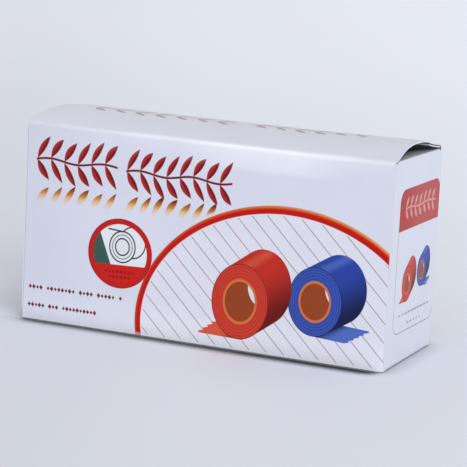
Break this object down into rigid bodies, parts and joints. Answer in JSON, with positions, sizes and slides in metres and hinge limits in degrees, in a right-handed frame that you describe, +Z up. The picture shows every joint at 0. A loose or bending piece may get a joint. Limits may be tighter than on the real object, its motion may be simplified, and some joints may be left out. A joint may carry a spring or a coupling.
{
  "type": "boxed tape cutter",
  "caption": "Folding tuck-end carton of white coated board with printed panels and a sprung top, holding a hand-held packing tape cutter with hub, cover band, serrated blade and wiper roller.",
  "frame": {"origin": "middle of the closed carton's underside, on the surface it stands on", "axes": "+X along the carton's length towards its right end, +Y from the printed front to the back, +Z up"},
  "size_m": [0.19, 0.065, 0.1045],
  "materials": {
    "coated_board": "white coated folding board, printed in red, orange and blue outside, grey-white inside",
    "orange_plastic": "moulded, semi-gloss",
    "blue_plastic": "moulded, semi-gloss",
    "dark_plastic": "moulded, fine texture",
    "blade_steel": "ground and serrated",
    "plated_steel": "zinc plated",
    "grey_rubber": "matte, finely ground"
  },
  "bodies": {
    "carton": {"front_panel": "coated_board", "back_panel": "coated_board", "top_panel": "coated_board", "bottom_panel": "coated_board", "glue_flap": "coated_board"},
    "right_lid": {"right_end_lid": "coated_board"},
    "right_tongue": {"right_tuck_tongue": "coated_board"},
    "right_front_flap": {"right_front_dust_flap": "coated_board"},
    "right_rear_flap": {"right_rear_dust_flap": "coated_board"},
    "left_lid": {"left_end_lid": "coated_board"},
    "left_tongue": {"left_tuck_tongue": "coated_board"},
    "left_front_flap": {"left_front_dust_flap": "coated_board"},
    "left_rear_flap": {"left_rear_dust_flap": "coated_board"},
    "cutter": {"hub_frame": "orange_plastic", "cover_band": "blue_plastic", "band_seat": "dark_plastic", "band_screws": "plated_steel", "nose_plate": "orange_plastic", "serrated_blade": "blade_steel", "blade_clamp": "plated_steel", "blade_screws": "plated_steel", "near_cheek": "dark_plastic", "far_cheek": "dark_plastic", "upper_tie_bar": "plated_steel", "lower_tie_bar": "plated_steel", "cheek_screws": "plated_steel", "roller_axle": "plated_steel"},
    "roller": {"wiper_roller": "grey_rubber"}
  },
  "joints": [
    {"name": "right_lid_fold", "type": "hinge", "parent": "carton", "child": "right_lid", "pos_m": [0.095, 0, 0], "axis": [0, 1, 0], "range_deg": [0, 90]},
    {"name": "right_tongue_fold", "type": "hinge", "parent": "right_lid", "child": "right_tongue", "pos_m": [0.095, 0, 0.09705], "axis": [0, 1, 0], "range_deg": [0, 20]},
    {"name": "right_front_flap_fold", "type": "hinge", "parent": "carton", "child": "right_front_flap", "pos_m": [0.09415, -0.0325, 0.0484], "axis": [0, 0, -1], "range_deg": [0, 90]},
    {"name": "right_rear_flap_fold", "type": "hinge", "parent": "carton", "child": "right_rear_flap", "pos_m": [0.09415, 0.0325, 0.0484], "axis": [0, 0, 1], "range_deg": [0, 90]},
    {"name": "left_lid_fold", "type": "hinge", "parent": "carton", "child": "left_lid", "pos_m": [-0.095, 0, 0], "axis": [0, -1, 0], "range_deg": [0, 90]},
    {"name": "left_tongue_fold", "type": "hinge", "parent": "left_lid", "child": "left_tongue", "pos_m": [-0.095, 0, 0.09705], "axis": [0, -1, 0], "range_deg": [0, 20]},
    {"name": "left_front_flap_fold", "type": "hinge", "parent": "carton", "child": "left_front_flap", "pos_m": [-0.09415, -0.0325, 0.0484], "axis": [0, 0, 1], "range_deg": [0, 90]},
    {"name": "left_rear_flap_fold", "type": "hinge", "parent": "carton", "child": "left_rear_flap", "pos_m": [-0.09415, 0.0325, 0.0484], "axis": [0, 0, -1], "range_deg": [0, 90]},
    {"name": "cutter_shift", "type": "slide", "parent": "carton", "child": "cutter", "axis": [1, 0, 0], "range_m": [-0.0035, 0.0035]},
    {"name": "roller_spin", "type": "hinge", "parent": "cutter", "child": "roller", "pos_m": [-0.0543, 0, 0.01135], "axis": [0, 1, 0], "continuous": true}
  ],
  "couplings": [
    {"joint": "right_tongue_fold", "follows": "right_lid_fold", "ratio": 0.22},
    {"joint": "right_front_flap_fold", "follows": "right_lid_fold", "ratio": 1},
    {"joint": "right_rear_flap_fold", "follows": "right_lid_fold", "ratio": 1},
    {"joint": "left_tongue_fold", "follows": "left_lid_fold", "ratio": 0.22},
    {"joint": "left_front_flap_fold", "follows": "left_lid_fold", "ratio": 1},
    {"joint": "left_rear_flap_fold", "follows": "left_lid_fold", "ratio": 1}
  ]
}
